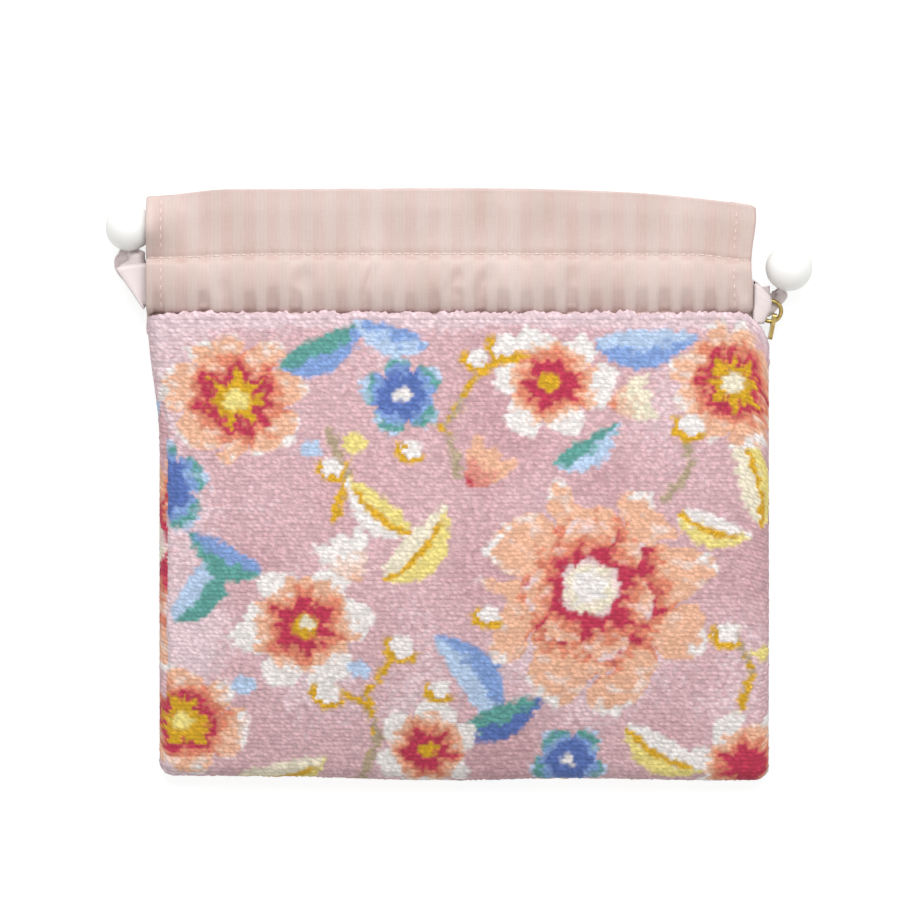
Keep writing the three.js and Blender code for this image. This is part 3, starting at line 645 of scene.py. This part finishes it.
def chenille_panel(name, front, columns, rows_a_course, node):
    """A panel whose courses and loops stand out of the cloth, with the print along the courses."""
    top = BODY_ARC - MOUTH_ROLL + MOUTH_TURN + UNDER_MOUTH
    rows = round((top + TURN_IN) / COURSE * rows_a_course)
    seed = 3.1 if front else 9.4
    reach = SIDE_ARC + TURN_IN
    bm = bmesh.new()
    bmesh.ops.create_grid(bm, x_segments=columns, y_segments=rows, size=1)
    dye_and_shade_layer = bm.verts.layers.float_color.new("dye_and_painted_light")
    lame_layer = bm.verts.layers.float.new("lame")
    cloth_layer = bm.loops.layers.uv.new("cloth")
    for vert in bm.verts:
        p = vert.co.x * reach
        q = (vert.co.y + 1) / 2 * (top + TURN_IN) - TURN_IN
        vert.co = (p, q, 0)
    for face in bm.faces:
        for corner in face.loops:
            corner[cloth_layer].uv = corner.vert.co.xy
    for vert in bm.verts:
        p, q = vert.co.xy
        course = round(q / COURSE)
        ragged = 1.3 * wobble(p / 2.2, course * 7.3, seed)
        x = p + 1.8 * wobble(p / 3.5, course * 3.7, seed + 1)
        y = BODY_FOOT + 0.5 * q + 0.5 * course * COURSE
        # At the left the back panel's cloth comes round to the front, up to the seam
        seam = SIDE_ARC + p - SEAM_SHOWS - 0.8 * wobble(q / 12, 0, seed)
        shown = smooth(SEAM_FROM - 8, SEAM_FROM, y) * smooth(SEAM_TO + 10, SEAM_TO, y) if front else 0
        if shown > 0.5 and seam < 0:
            x, y = x + BEYOND_SEAM[0], y + BEYOND_SEAM[1]
        if not front:
            x, y = 18 - x * 0.9, y * 0.9 + 20
        dye_and_painted_light, metal = print_at(x, y, ragged)
        ridge = abs(math.cos(math.pi * q / COURSE))
        loops = wobble(p / 0.85, course * 5.7, seed + 3)
        height = ridge * (0.12 + 0.5 * loops) + 0.25 * wobble(p / 6, q / 6, seed + 2) - 0.25
        height -= 0.7 * shown * bell(seam, 0.7)
        # The pile stands out where the cloth turns in at the mouth
        bulge = 1.1 * (1 + wobble(p / 1.7, 0.5, seed + 4)) * smooth(1, 14, SIDE_ARC - abs(p))
        height += bulge * bell(q - MOUTH_EDGE, 1.5)
        q += 0.3 * wobble(p / 7, q / 5, seed + 7) + 0.3 * ridge * wobble(p / 0.9, course * 2.9, seed + 8)
        p += 0.15 * wobble(p / 1.3, q / 1.3, seed + 5)
        here = skin(front, p, q)
        right = skin(front, p + 0.3, q) - skin(front, p - 0.3, q)
        up = skin(front, p, q + 0.3) - skin(front, p, q - 0.3)
        out = right.cross(up).normalized() * (1 if front else -1)
        if not front and here.z < 1:
            height = min(height, here.z - 0.3)
        vert.co = here + out * height
        # Painted highlight on the crest of each course and on the higher loops, baked into the colour with
        # the print
        shade = 0.97 + 0.03 * ridge + 0.15 * loops
        vert[dye_and_shade_layer] = (*(dye_and_painted_light * shade), 1)
        vert[lame_layer] = metal
    if not front:
        bmesh.ops.reverse_faces(bm, faces=bm.faces)
    piece = finish_piece(name, bm, CHENILLE, "pouch", [node])
    return piece


# The form of the mouth strips
def channel_level(front, x):
    across = 2 * (x - BAND_LEFT) / BAND_WIDTH - 1
    return FRONT_CHANNEL + BAND_CROWN * (1 - across * across) ** 2 if front else BACK_CHANNEL


def header_level(x):
    across = max(min(2 * (x - BAND_LEFT) / BAND_WIDTH - 1, 1), -1)
    return FRONT_HEADER + MOUTH_OPENING * 0.65 * (1 - across * across) ** 0.8


def channel_gap(y):
    share = min(abs(y - CHANNEL_MIDDLE) / (CHANNEL_HEIGHT / 2 - PLY), 1)
    return CHANNEL_HALF * (1 - share ** 4) ** 0.25


def bead_lift(x, y, start):
    over = BEAD_RADIUS * 1.2 * bell(x - BAND_LEFT, 8) * bell(y - LEFT_BEAD.y, 9.5)
    return over * smooth(start, STITCH_LINE + 8, y)


def strip_rise(x, y):
    across = 2 * (x - BAND_LEFT) / BAND_WIDTH - 1
    top = -2.3 * smooth(-0.72, -1, across) - 5.4 * max(across, 0) ** 3
    stitch = -1.2 * smooth(-0.6, -1, across) - 2 * smooth(0.8, 1, across)
    upper = min(max((y - STITCH_LINE) / HEADER_HEIGHT, 0), 1)
    lower = min(max((y - BAND_FOOT) / CHANNEL_HEIGHT, 0), 1)
    return mix(stitch, top, upper) if y > STITCH_LINE else stitch * lower ** 4


def strip_level(front, x, y):
    half = BODY_WIDTH / 2 - SEWN_INSET
    share = (x - BODY_CENTRE) / half
    share = max(min((x - BODY_CENTRE + flare_at(share, 1)) / half, 1), -1)
    radius = EDGE_ROLL - SEWN_INSET
    roll = radius * math.sqrt(1 - (1 - min((1 - abs(share)) * half / radius, 1)) ** 2)
    sewn = EDGE_ROLL + SEAM_GAP + roll + puff_at(share, 1) if front else EDGE_ROLL - roll
    header = header_level(x) if front else BACK_HEADER
    low = mix(sewn, channel_level(front, x), smooth(BODY_MOUTH, BODY_MOUTH + 2.2, y))
    return mix(low, header, smooth(STITCH_LINE, STITCH_LINE + HEADER_HEIGHT * 0.45, y))


# Creases in the front strip, from the photograph: two ends, width and depth
CREASES = [
    ((-26.8, 73.3), (-30.4, 62.0), 0.9, 0.5),
    ((-48.3, 70.4), (-52.5, 64.0), 2.4, 0.8),
    ((-76.5, 67.5), (-77.0, 61.0), 2.2, 0.5),
    ((1.5, 70.0), (-1.6, 64.6), 1.8, 0.7),
    ((-1.6, 64.6), (0.5, 60.9), 1.3, 0.4),
    ((10.2, 69.6), (6.6, 62.0), 1.9, 0.8),
    ((38.6, 71.3), (36.0, 61.9), 2.1, 0.7),
    ((92.0, 70.0), (94.5, 60.0), 3.0, 0.8),
    ((-29.0, 78.0), (-28.0, 94.0), 5.0, 0.45),
    ((-7.0, 79.0), (-6.0, 90.0), 4.0, 0.35),
    ((8.0, 78.0), (8.6, 93.0), 4.0, 0.5),
    ((29.0, 78.0), (30.0, 93.0), 4.5, 0.5),
    ((47.0, 79.0), (47.0, 90.0), 4.0, 0.4),
    ((-95.0, 78.0), (-88.0, 76.0), 3.0, 0.3),
]


def creases_at(x, y):
    depth = 0
    for (ax, ay), (bx, by), width, deep in CREASES:
        if abs(x - ax) < 12 + 3 * width:
            sx, sy = bx - ax, by - ay
            share = min(max(((x - ax) * sx + (y - ay) * sy) / (sx * sx + sy * sy), 0), 1)
            depth += 1.5 * deep * (1 - 0.6 * (2 * share - 1) ** 2) * bell(
                math.hypot(x - ax - sx * share, y - ay - sy * share), 1.25 * width)
    return depth


def satin_relief(x, y):
    """The filled channel's ridge, the header's curl, gathers, creases and puckers at the stitches."""
    ridge = CHANNEL_MIDDLE - 0.4 + 1.1 * wobble(x / 9, 0.3, 8)
    if y > ridge:
        share = (y - ridge) / (STITCH_LINE - ridge)
    else:
        share = (ridge - y) / (ridge - BAND_FOOT)
    filled = 1.7 * max(1 - share ** 1.7, 0)
    level = channel_level(True, x) - header_level(x) - 0.2
    level *= smooth(STITCH_LINE + 0.5, STITCH_LINE + HEADER_HEIGHT * 0.45, y) * (1 - bell(x - BAND_LEFT, 16))
    curl = 0.7 * smooth(BAND_TOP - 8, BAND_TOP + 1, y)
    stripe = smooth(-0.5, 0.5, math.sin(2 * math.pi * (x - BAND_LEFT) / STRIPE + STRIPE_START))
    start = ridge - 1.2 + 1.6 * wobble(x / 14, 2.6, 5)
    uneven = wobble(x / 8, 4.2, 2)
    gather = mix(0.2 * (1 + 1.5 * uneven), 0.25 * (1 + 0.5 * uneven), smooth(5, 14, x))
    pleat = -gather * max(start - y, 0) ** 0.9 * stripe * smooth(BAND_FOOT - 2, BAND_FOOT + 1, y)
    filled += 1.2 * bell(x - BAND_LEFT, 13) * bell(y - STITCH_LINE + 1, 9)
    groove = bell(y - STITCH_LINE + 0.5, 1.0) * 0.8
    beat = math.cos(2 * math.pi * x / STITCH_STEP + 2 * wobble(x / 7, 3, 3))
    pucker = bell(y - STITCH_LINE - 1.6, 1.6) * 0.12 * beat
    waves = 0.3 * wobble(x / 13, y / 30, 1.7) * smooth(STITCH_LINE, STITCH_LINE + 6, y)
    return filled + level - curl + pleat - creases_at(x, y) - groove + pucker + waves


def strip_edge(x, y):
    """The side edges aren't quite straight: the right one bows out at the header."""
    share = max(2 * (x - BAND_LEFT) / BAND_WIDTH - 1, 0) ** 8
    left = max(1 - 2 * (x - BAND_LEFT) / BAND_WIDTH, 0) ** 8
    return x + share * (1.0 * bell(y - 88, 7) - 0.7 * bell(y - 71, 8)) + 0.4 * left


def corner_round(x):
    """The rounded corners at the top fold."""
    near = min(BAND_RIGHT - x, x - BAND_LEFT + 0.6)
    return 0.9 * max(1 - near / 1.8, 0) ** 2


def strip_half(y):
    if y < BAND_FOOT:
        return 0.35
    return max(channel_gap(y) + PLY, 0.35) if y < STITCH_LINE else PLY * 0.75


def strip_point(front, x, y, side, height=0):
    """A point of the strip's outer (side 1) or inner ply, at a height over it."""
    edge = min(x - BAND_LEFT, BAND_RIGHT - x)
    outside = side > 0 if front else side < 0
    relief = satin_relief(x, y) * abs(side)
    hem = 0.25 * (1 - smooth(4.4, 5.2, edge)) * abs(side)
    if y < BAND_FOOT:
        relief, hem = min(relief, 0), 0
    if not front:
        relief, hem = min(relief, 0) * 0.3, hem * 0.3
    elif not outside:
        relief, hem = (relief if y > STITCH_LINE else 0), 0
    risen = y + strip_rise(x, y) - corner_round(x) * smooth(BAND_TOP - 4, BAND_TOP, y)
    lift = bead_lift(x, risen, STITCH_LINE - (8 if outside else 2)) if front else 0
    half = strip_half(y)
    if front and outside and BAND_FOOT <= y < BAND_FOOT + 4:
        half = max(half, 1.0)
    out = side * (half + hem + height)
    if outside:
        out += relief if front else -relief
        if front and abs(y - CHANNEL_MIDDLE) < 7.8:
            out = max(out, 1.45)
    elif front:
        out += relief
    return Vector((strip_edge(x, risen), risen, strip_level(front, x, y) + lift + out))


def strip_cloth(name, front, columns, step, node):
    """A strip of satin folded over at the top, stitched through and sewn in under the panel."""
    heights = []
    y = BAND_FOOT - STRIP_TURNING
    while y < BAND_TOP - 0.4:
        heights.append((y, 1))
        y += step
    fold = [(BAND_TOP - 0.4 + 0.4 * math.sin(a), math.cos(a)) for a in [math.pi * i / 4 for i in range(5)]]
    heights = heights + fold + [(y, -1) for y, _ in reversed(heights)]
    rows = len(heights) - 1

    def place(share, row):
        y, side = heights[round(row * rows)]
        return strip_point(front, BAND_LEFT + BAND_WIDTH * share, y, side)

    bm = laid_cloth(columns, rows, place, (BAND_WIDTH, 2 * (BAND_TOP - BAND_FOOT + STRIP_TURNING)))
    piece = finish_piece(name, bm, SATIN, "pouch", [node])
    thicken(piece, SATIN_CLOTH, -1)
    return piece


def lining(name, front, node):
    """The lining of one panel, on the pile cloth's inner side and with a rolled foot and sides."""
    inset = CLOTH + 0.9
    top = BODY_MOUTH - 4.6

    def place(share, row):
        half = BODY_WIDTH / 2 - inset
        across = math.sin((share - 0.5) * math.pi)
        foot = foot_line(across) + inset
        y = foot + (top - foot) * (1 - math.cos(row * math.pi / 2))
        along = (y - BODY_FOOT) / BODY_HEIGHT
        radius = EDGE_ROLL - inset
        edge = min((1 - abs(across)) * half / radius, 1)
        low = min((y - foot) / radius, 1)
        roll = radius * math.sqrt(max(1 - (1 - edge) ** 2, 0)) * math.sqrt(max(1 - (1 - low) ** 2, 0))
        soft = 0.15 * wobble(share * 9, row * 7, 5) * edge * low
        x = BODY_CENTRE + across * half - flare_at(across, along)
        if front:
            return Vector((x, y, EDGE_ROLL + SEAM_GAP + roll + puff_at(across, along) + min(soft, 0)))
        return Vector((x, y, EDGE_ROLL - roll + max(soft, 0)))

    bm = laid_cloth(64, 40, place, (200, 145))
    if not front:
        bmesh.ops.reverse_faces(bm, faces=bm.faces)
    piece = finish_piece(name, bm, LINING_WEAVE, "pouch", [node])
    thicken(piece, LINING_CLOTH, -1)
    return piece


# Ribbons: each station is a place, the direction across, the width and how far it is curled
def station(x, y, z, width, across=(0, 1, 0), curl=0):
    return Vector((x, y, z)), Vector(across).normalized(), width, curl


def channel_run(home, far, home_width, home_line, far_width, far_line, pass_line):
    """Through the front channel, round outside its far end and home through the back channel.

    Half way the two ribbons are drawn narrow, pass each other and change places.
    """
    outward = math.copysign(1, home - far)
    pass_width = CHANNEL_HEIGHT * 0.36
    profile = [
        (0, home_line, home_width, 1), (0.03, home_line, home_width, 1),
        (0.1, RIBBON_LINE, RIBBON_WIDTH, 1), (0.3, RIBBON_LINE, RIBBON_WIDTH, 1),
        (0.36, pass_line, pass_width, 1), (0.44, pass_line, pass_width, 1),
        (0.5, pass_line, pass_width, 0), (0.56, pass_line, pass_width, -1),
        (0.64, pass_line, pass_width, -1), (0.7, RIBBON_LINE, RIBBON_WIDTH, -1),
        (0.9, RIBBON_LINE, RIBBON_WIDTH, -1), (0.96, far_line, far_width, -1),
        (1, far_line, far_width, -1),
    ]
    front, back = [], []
    for step in range(41):
        share = step / 40
        index = max(next(i for i, row in enumerate(profile) if row[0] >= share - 1e-9), 1)
        a, b = profile[index - 1], profile[index]
        part = (share - a[0]) / (b[0] - a[0])
        _, line, width, side = (mix(a[i], b[i], part) for i in range(4))
        x = home + (far - home) * share
        front.append(station(x, line, channel_level(True, x) + side * RIBBON_LAYER * 0.75, width))
        back.append(station(x, line, channel_level(False, x) - side * RIBBON_LAYER, width))
    top, foot = FRONT_CHANNEL - RIBBON_LAYER, BACK_CHANNEL + RIBBON_LAYER
    radius = (top - foot) / 2
    start = far - outward * 3.8
    turn = []
    for index in range(9):
        a = math.pi * index / 8
        x, z = start - outward * radius * math.sin(a), foot + radius * (1 + math.cos(a))
        turn.append(station(x, far_line, z, far_width, (0, 0.85, 1.9 / far_width * math.cos(a))))
    return front + turn + back[::-1]


def into_bead(bead, pull, level, facing):
    """An end's last two stations, in the bead's bore, half of the bore being each end's."""
    over = pull.cross(Vector((1, 0, 0))).normalized() * level * 0.55
    mouth = bead + pull * (BEAD_RADIUS + 0.3) + over
    end = bead + pull * (BEAD_RADIUS - 4) + over
    return [(place, Vector((facing, 0, 0)), 3.4, facing * level * 190) for place in (end, mouth)]


def spline(a, b, c, d, share):
    return 0.5 * (2 * b + (c - a) * share + (2 * a - 5 * b + 4 * c - d) * share ** 2
                  + (3 * b - a - 3 * c + d) * share ** 3)


def ribbon(name, stations, node, body):
    """A ribbon lofted through its stations, curled across where it is drawn together."""
    line = []
    last = len(stations) - 1
    for index in range(last):
        around = [stations[min(max(index + k, 0), last)] for k in (-1, 0, 1, 2)]
        steps = max(round((around[2][0] - around[1][0]).length / 1.2), 1)
        for step in range(steps):
            share = step / steps
            place, across = (spline(*(s[i] for s in around), share) for i in (0, 1))
            width, curl = (mix(around[1][i], around[2][i], smooth(0, 1, share)) for i in (2, 3))
            line.append((place, across.normalized(), width, math.radians(curl)))
    place, across, width, curl = stations[last]
    line.append((place, across, width, math.radians(curl)))
    rows = len(line) - 1

    def lay(share, row):
        index = round(row * rows)
        place, across, width, curl = line[index]
        along = line[min(index + 1, rows)][0] - line[max(index - 1, 0)][0]
        through = along.cross(across).normalized()
        s = share - 0.5
        if abs(curl) < 0.05:
            return place + across * width * s
        radius = width / curl
        return place + across * radius * math.sin(s * curl) + through * radius * (1 - math.cos(s * curl))

    bm = laid_cloth(10, rows, lay, (RIBBON_WIDTH, RIBBON_LENGTH))
    piece = finish_piece(name, bm, RIBBON_SATIN, body, [node])
    thicken(piece, RIBBON_CLOTH, 0)
    return piece


def left_stations():
    """From the left bead, round the slanted fold, through the channels and back to the bead."""
    top, foot = RIBBON_LINE + RIBBON_WIDTH / 2, RIBBON_LINE - RIBBON_WIDTH / 2
    fold_top = Vector((BAND_LEFT - 9.2, top - 1.5, 0))
    fold_foot = Vector((BAND_LEFT - 0.2, foot - 0.6, 0))
    slant = fold_top - fold_foot
    middle = (fold_top + fold_foot) / 2
    outward = Vector((-slant.y, slant.x, 0)).normalized()
    level, fold_radius = FRONT_CHANNEL + RIBBON_LAYER + 0.35, 0.55
    fold = []
    for degrees in (180, 120, 60, 0):
        a = math.radians(degrees)
        place = middle + outward * fold_radius * math.sin(a)
        fold.append(station(place.x, place.y, level + fold_radius * math.cos(a), slant.length, slant))
    ends = [
        *into_bead(LEFT_BEAD, LEFT_PULL, 1, -1),
        station(BAND_LEFT - 3.1, LEFT_BEAD.y - 8.7, FRONT_CHANNEL + 1.1, 8.8, (-1, -0.2, 0), 200),
        station(BAND_LEFT - 3.1, top + 0.6, FRONT_CHANNEL + 1.0, 9.0, (-1, 0, 0), 180),
        station(BAND_LEFT - 3.8, top - 2.5, FRONT_CHANNEL + 0.5, 10.5, (-0.95, 0.3, 0), 60),
    ]
    back = [
        station(BAND_LEFT - 3.0, top - 4.5, BACK_CHANNEL - RIBBON_LAYER, 8, (0.3, 0.95, 0)),
        station(BAND_LEFT - 6.9, top - 1.6, BACK_CHANNEL + 1.4, 6.0, (0.9, 0.4, 0), -60),
        station(BAND_LEFT - 8.0, top + 1.6, BACK_CHANNEL + 2.8, 5.2, (1, 0.1, 0), -110),
        station(BAND_LEFT - 6.6, top + 4.4, BACK_CHANNEL + 3.2, 4.4, (0.95, 0.3, 0), -160),
        *into_bead(LEFT_BEAD, LEFT_PULL, -1, 1)[::-1],
    ]
    run = channel_run(BAND_LEFT, BAND_RIGHT, RIBBON_WIDTH, RIBBON_LINE, 4.2, BAND_FOOT + 7.4,
                      CHANNEL_MIDDLE + 3.6)
    return ends + fold + run + back


def right_stations():
    """From the right bead, through the ring and the channels and back to the bead."""
    x, y, z = RING_CENTRE
    over = WIRE_RADIUS + 0.3 + 0.4
    ends = [
        *into_bead(RIGHT_BEAD, RIGHT_PULL, 1, -1),
        station(x + 3.6, y + 5.0, z - over + 0.9, 4.6, (-1, 0.3, 0), 120),
        station(x + 2.3, y + 3.0, z - over - 0.1, 3.2, (-0.8, 0.5, 0), 90),
        station(x + 1.3, y + 1.9, z - over + 0.1, 3, (-0.7, 0.7, 0), 90),
        station(x + 0.3, y + 0.4, z, 3.2, (-0.3, 0.95, 0), 80),
        station(x - 0.2, y + 0.9, z + over + 1.4, 6.4, (0.25, 0.97, 0), 50),
        station(x - 1.7, y + 0.8, FRONT_CHANNEL + 0.4, 10.2, (0.12, 0.99, 0), 16),
        station(x - 4.2, y + 1.9, FRONT_CHANNEL + 1.0, 12.6, (0.1, 0.99, 0), 12),
        station(x - 5.9, y + 3.2, FRONT_CHANNEL + 0.85, 13.2, (0, 1, 0), 8),
    ]
    back = [
        station(x - 2.2, y + 5.1, BACK_CHANNEL + 0.2, 6.2, (0, 0.75, 0.66)),
        station(x + 1.3, y + 4.6, 1.5, 3.2, (-0.7, 0.7, 0), 90),
        station(x + 1.9, y + 6.4, 2.3, 3.2, (-1, 0.3, 0), 120),
        *into_bead(RIGHT_BEAD, RIGHT_PULL, -1, -1)[::-1],
    ]
    run = channel_run(BAND_RIGHT, BAND_LEFT, 9.2, BAND_FOOT + 6.8, 5.6, STITCH_LINE - 6.7,
                      CHANNEL_MIDDLE - 4.1)
    return ends + run + back


def bead(name, centre, pull, body, node):
    """A round bead with a drilled bore that the ribbon's ends go into."""
    rim = math.asin(BEAD_BORE / BEAD_RADIUS)
    wall, floor = BEAD_BORE * 0.9, BORE_DEPTH - BEAD_RADIUS
    bore = [(0, floor), (wall, floor), (wall, 0.5 - BEAD_RADIUS)]
    rings = 43
    turn = Vector((0, 0, -1)).rotation_difference(pull).to_matrix()

    def place(share, row):
        index = round(row * rings)
        if index < len(bore):
            reach, height = bore[index]
        else:
            angle = mix(rim, math.pi, (index - len(bore)) / (rings - len(bore)))
            reach, height = BEAD_RADIUS * math.sin(angle), -BEAD_RADIUS * math.cos(angle)
        around = 2 * math.pi * share
        return centre + turn @ Vector((reach * math.cos(around), reach * math.sin(around), height))

    bm = laid_cloth(56, rings, place, (1, 1))
    bmesh.ops.remove_doubles(bm, verts=bm.verts, dist=1e-4)
    bmesh.ops.recalc_face_normals(bm, faces=bm.faces)
    return finish_piece(name, bm, PEARL_LACQUER, body, [node])


def jump_ring():
    """A ring of round wire."""
    bm = bmesh.new()
    bmesh.ops.create_circle(bm, segments=14, radius=WIRE_RADIUS)
    upright = Vector((0, 0, 1)).rotation_difference(Vector((0, 1, 0))).to_matrix()
    bmesh.ops.rotate(bm, cent=(0, 0, 0), matrix=upright, verts=bm.verts)
    bmesh.ops.translate(bm, vec=(RING_RADIUS, 0, 0), verts=bm.verts)
    bmesh.ops.spin(bm, geom=bm.verts[:] + bm.edges[:], cent=(0, 0, 0), axis=(0, 0, 1), angle=2 * math.pi,
                   steps=48, use_merge=True)
    bmesh.ops.remove_doubles(bm, verts=bm.verts, dist=1e-4)
    bmesh.ops.recalc_face_normals(bm, faces=bm.faces)
    bmesh.ops.translate(bm, vec=RING_CENTRE, verts=bm.verts)
    return finish_piece("jump_ring", bm, PALE_GOLD, "ring", ["charm_ring"])


def thread_line(name, spots):
    """Small raised stitches, each from one spot to the next."""
    bm = bmesh.new()
    for a, b in spots:
        made = bmesh.ops.create_uvsphere(bm, u_segments=6, v_segments=4, radius=1)["verts"]
        bmesh.ops.scale(bm, vec=(0.22, 0.22, (b - a).length / 2), verts=made)
        turn = Vector((0, 0, 1)).rotation_difference(b - a)
        bmesh.ops.rotate(bm, cent=(0, 0, 0), matrix=turn.to_matrix(), verts=made)
        bmesh.ops.translate(bm, vec=(a + b) / 2, verts=made)
    return finish_piece(name, bm, SEWING_THREAD, "pouch")


def stitches():
    """The line that parts header and channel, and the hems at both sides of the front strip."""
    seam, hems = [], []
    x = BAND_LEFT + 1.2
    while x < BAND_RIGHT - 2.2:
        seam.append([strip_point(True, x + shift, STITCH_LINE, 1, 0.22) for shift in (0, 2)])
        x += STITCH_STEP + dice.uniform(-0.12, 0.12)
    for line in (BAND_LEFT + 5.0, BAND_RIGHT - 6.1):
        y = BAND_FOOT + 2
        while y < BAND_TOP - 3:
            if abs(y + 1 - STITCH_LINE) > 1.6:
                hems.append([strip_point(True, line, y + shift, 1, 0.08) for shift in (0, 1.9)])
            y += STITCH_STEP + dice.uniform(-0.12, 0.12)
    thread_line("channel_stitches", seam)
    thread_line("hem_stitches", hems)


def stage():
    """A white table, lifted to pure white only where the camera sees it in full light."""
    bm = bmesh.new()
    bmesh.ops.create_grid(bm, x_segments=1, y_segments=1, size=2.5)
    mesh = bpy.data.meshes.new("table")
    bm.to_mesh(mesh)
    bm.free()
    material, tree = new_material("white_table")
    rays = add_node(tree, "LightPath").outputs
    matte = add_node(tree, "BsdfDiffuse", {"Color": colour("#f4f4f4")})
    faint = add_node(tree, "BsdfDiffuse", {"Color": (0.25, 0.25, 0.25, 1)})
    glow = add_node(tree, "Emission", {"Color": (1, 1, 1, 1), "Strength": 0.84})
    lifted = add_node(tree, "AddShader", {0: faint, 1: glow})
    white = add_node(tree, "Emission", {"Color": (1, 1, 1, 1), "Strength": 0.92})
    straight = add_node(tree, "MixShader", {"Fac": rays["Is Camera Ray"], 1: matte, 2: lifted})
    mirrored = add_node(tree, "Math", {0: rays["Is Glossy Ray"], 1: rays["Is Transmission Ray"]},
                        operation="MAXIMUM")
    both = add_node(tree, "MixShader", {"Fac": mirrored, 1: straight, 2: white})
    add_node(tree, "OutputMaterial", {"Surface": both})
    mesh.materials.append(material)
    table = bpy.data.objects.new("table", mesh)
    bpy.context.scene.collection.objects.link(table)

    world = bpy.data.worlds.new("studio")
    world.use_nodes = True
    tree = world.node_tree
    tree.nodes.clear()
    rays = add_node(tree, "LightPath").outputs
    fill = add_node(tree, "Background", {"Color": colour("#fdfcf8"), "Strength": 0.5})
    backdrop = add_node(tree, "Background", {"Color": (1, 1, 1, 1), "Strength": 1})
    straight = add_node(tree, "Math", {0: rays["Is Camera Ray"], 1: rays["Is Glossy Ray"]},
                        operation="MAXIMUM")
    seen = add_node(tree, "Math", {0: straight, 1: rays["Is Transmission Ray"]}, operation="MAXIMUM")
    sky = add_node(tree, "MixShader", {"Fac": seen, 1: fill, 2: backdrop})
    add_node(tree, "OutputWorld", {"Surface": sky})
    bpy.context.scene.world = world

    for name, place, power in (("window", (0.0, 0.87, 0.87), 13.5), ("fill_card", (0.5, -0.5, 1.0), 1.2)):
        data = bpy.data.lights.new(name, "AREA")
        data.shape = "SQUARE"
        data.size = 1
        data.energy = power
        lamp = bpy.data.objects.new(name, data)
        lamp.location = place
        lamp.rotation_euler = (-Vector(place)).to_track_quat("-Z", "Y").to_euler()
        bpy.context.scene.collection.objects.link(lamp)
    bpy.context.scene.view_settings.view_transform = "Standard"


bead("left_bead", LEFT_BEAD, LEFT_PULL, "left_pull", "left_pearl")
bead("right_bead", RIGHT_BEAD, RIGHT_PULL, "right_pull", "right_pearl")
jump_ring()
ribbon("left_ribbon", left_stations(), "left_drawstring", "left_pull")
ribbon("right_ribbon", right_stations(), "right_drawstring", "right_pull")
lining("front_lining_cloth", True, "front_lining")
lining("back_lining_cloth", False, "back_lining")
chenille_panel("front_chenille", True, 390, 2, "front_panel")
chenille_panel("back_chenille", False, 200, 2, "back_panel")
strip_cloth("front_strip", True, 300, 0.9, "front_band")
strip_cloth("back_strip", False, 120, 1.8, "back_band")
stitches()
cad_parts["charm_plate"].material_slots[0].material = PALE_GOLD
stage()
